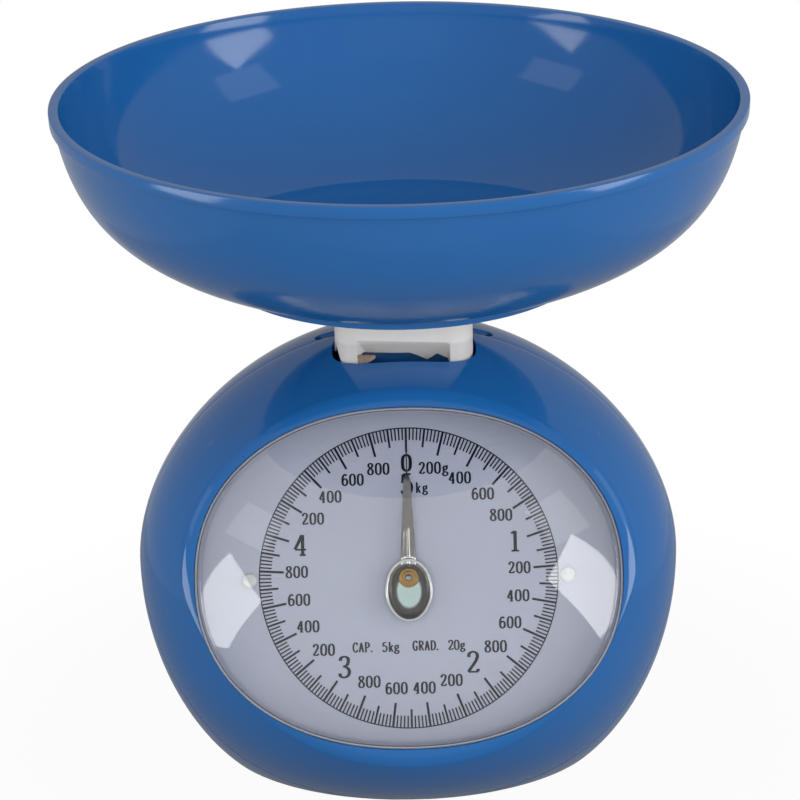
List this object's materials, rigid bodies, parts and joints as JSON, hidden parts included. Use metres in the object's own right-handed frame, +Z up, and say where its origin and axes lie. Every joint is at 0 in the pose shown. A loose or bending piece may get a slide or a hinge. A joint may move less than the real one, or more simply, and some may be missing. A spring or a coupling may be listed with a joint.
{
  "type": "kitchen scale",
  "caption": "Spring kitchen scale: egg-shaped housing with a leaning oval dial, a spoon-shaped pointer and a lift-off round bowl on a square neck.",
  "frame": {"origin": "on the table under the neck's axis, which is also the bowl's axis", "axes": "+Z up, the dial faces -Y and leans back, +X is to the right of someone reading the dial"},
  "size_m": [0.2314, 0.2314, 0.234],
  "materials": {
    "blue_plastic": "injection moulded, gloss",
    "clear_plastic": "clear polystyrene, polished mould",
    "dial_card": "printed sheet, satin",
    "chrome": "chromed, bright",
    "brass": "turned",
    "zinc_steel": "zinc plated sheet and wire",
    "white_card": "coated packing card",
    "black_rubber": "moulded, matt"
  },
  "bodies": {
    "housing": {"front_housing": "blue_plastic", "rear_housing": "blue_plastic", "base_plate": "zinc_steel", "mechanism_frame": "zinc_steel", "foot_1": "black_rubber", "foot_2": "black_rubber", "foot_3": "black_rubber", "foot_4": "black_rubber", "base_screw_1": "zinc_steel", "base_screw_2": "zinc_steel", "base_screw_3": "zinc_steel", "base_screw_4": "zinc_steel", "heel_screw_1": "zinc_steel", "heel_screw_2": "zinc_steel", "housing_screw_1": "zinc_steel", "housing_screw_2": "zinc_steel", "lens": "clear_plastic", "dial_plate": "dial_card", "dial_pin_left": "clear_plastic", "dial_pin_right": "clear_plastic", "dial_bracket": "zinc_steel", "pinion_bridge": "zinc_steel", "lower_frame_pin": "zinc_steel", "upper_frame_pin": "zinc_steel"},
    "carrier": {"load_carrier": "zinc_steel", "neck": "blue_plastic", "neck_sleeve": "white_card", "platform": "blue_plastic", "platform_screw": "zinc_steel", "rack": "brass", "rack_pin": "zinc_steel", "lower_carrier_pin": "zinc_steel", "upper_carrier_pin": "zinc_steel"},
    "bowl": {"bowl": "blue_plastic"},
    "pointer": {"pointer": "chrome", "pointer_hub": "brass", "pointer_shaft": "zinc_steel", "pinion": "brass"},
    "lower_lever": {"lower_lever": "zinc_steel"},
    "upper_lever": {"upper_lever": "zinc_steel"},
    "hanger": {"spring_hanger": "zinc_steel", "spring_left": "zinc_steel", "spring_right": "zinc_steel"},
    "zero_setting": {"zero_knob": "blue_plastic", "zero_shaft": "zinc_steel"}
  },
  "joints": [
    {"name": "load_slide", "type": "slide", "parent": "housing", "child": "carrier", "axis": [0, 0, -1], "range_m": [-0.001, 0.01376], "stiffness_N_per_m": 3566, "springref_m": -0.00085, "deforming": ["spring_left", "spring_right"]},
    {"name": "bowl_lift", "type": "slide", "parent": "carrier", "child": "bowl", "axis": [0, 0, 1], "range_m": [0, 0.06]},
    {"name": "pointer_turn", "type": "hinge", "parent": "housing", "child": "pointer", "pos_m": [0, -0.042, 0.0784], "axis": [0, -0.9135, 0.4067], "range_deg": [-362, 28]},
    {"name": "lower_lever_turn", "type": "hinge", "parent": "housing", "child": "lower_lever", "pos_m": [0, 0.038, 0.045], "axis": [1, 0, 0], "range_deg": [-1.5, 18.6]},
    {"name": "upper_lever_turn", "type": "hinge", "parent": "housing", "child": "upper_lever", "pos_m": [0, 0.038, 0.086], "axis": [1, 0, 0], "range_deg": [-1.5, 18.6]},
    {"name": "zero_turn", "type": "hinge", "parent": "housing", "child": "zero_setting", "pos_m": [0, 0.066, 0.0941], "axis": [0, 1, 0], "range_deg": [-60, 60]},
    {"name": "hanger_lift", "type": "slide", "parent": "housing", "child": "hanger", "axis": [0, 0, 1], "range_m": [-0.00121, 0.00121]}
  ],
  "couplings": [
    {"joint": "pointer_turn", "follows": "load_slide", "rad_per_m": -456.77},
    {"joint": "lower_lever_turn", "follows": "load_slide", "rad_per_m": 23.356},
    {"joint": "upper_lever_turn", "follows": "load_slide", "rad_per_m": 23.356},
    {"joint": "hanger_lift", "follows": "zero_turn", "m_per_rad": 0.0011459}
  ]
}
